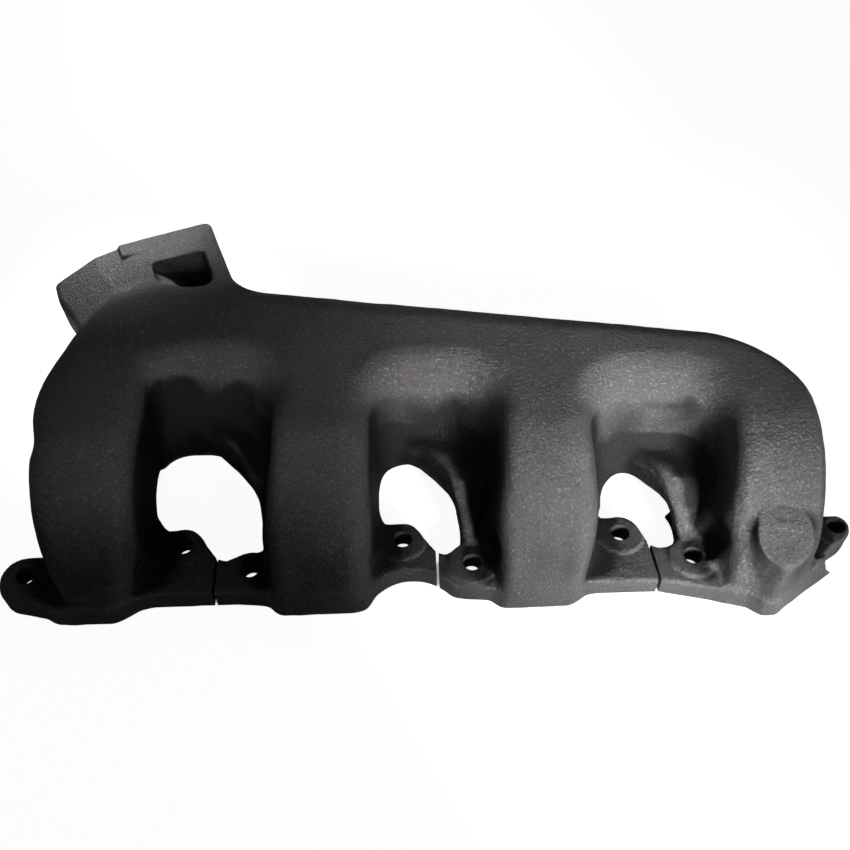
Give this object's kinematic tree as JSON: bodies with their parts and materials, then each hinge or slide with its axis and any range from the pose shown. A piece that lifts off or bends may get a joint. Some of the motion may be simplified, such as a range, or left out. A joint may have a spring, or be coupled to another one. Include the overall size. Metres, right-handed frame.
{
  "type": "exhaust manifold",
  "caption": "Cast-iron log exhaust manifold with flanged ports, bent runners, a straight collector log, an angled outlet flange and a blank sensor boss.",
  "frame": {"origin": "middle of the port row, on the plane of the four port faces", "axes": "+X along the log away from the outlet, +Y from the ports towards the log, +Z out of the cylinder head"},
  "size_m": [0.4763, 0.2564, 0.08],
  "materials": {
    "cast_iron": "rough as cast, dark grey"
  },
  "bodies": {
    "root": {"port_flange_1": "cast_iron", "port_flange_2": "cast_iron", "port_flange_3": "cast_iron", "port_flange_4": "cast_iron", "runner_1": "cast_iron", "runner_2": "cast_iron", "runner_3": "cast_iron", "runner_4": "cast_iron", "log_junction_1": "cast_iron", "log_junction_2": "cast_iron", "log_junction_3": "cast_iron", "log_junction_4": "cast_iron", "log_span_12": "cast_iron", "log_span_23": "cast_iron", "log_span_34": "cast_iron", "outlet_neck": "cast_iron", "outlet_flange": "cast_iron", "outlet_lug": "cast_iron", "sensor_boss": "cast_iron", "boss_rib": "cast_iron"}
  },
  "joints": []
}
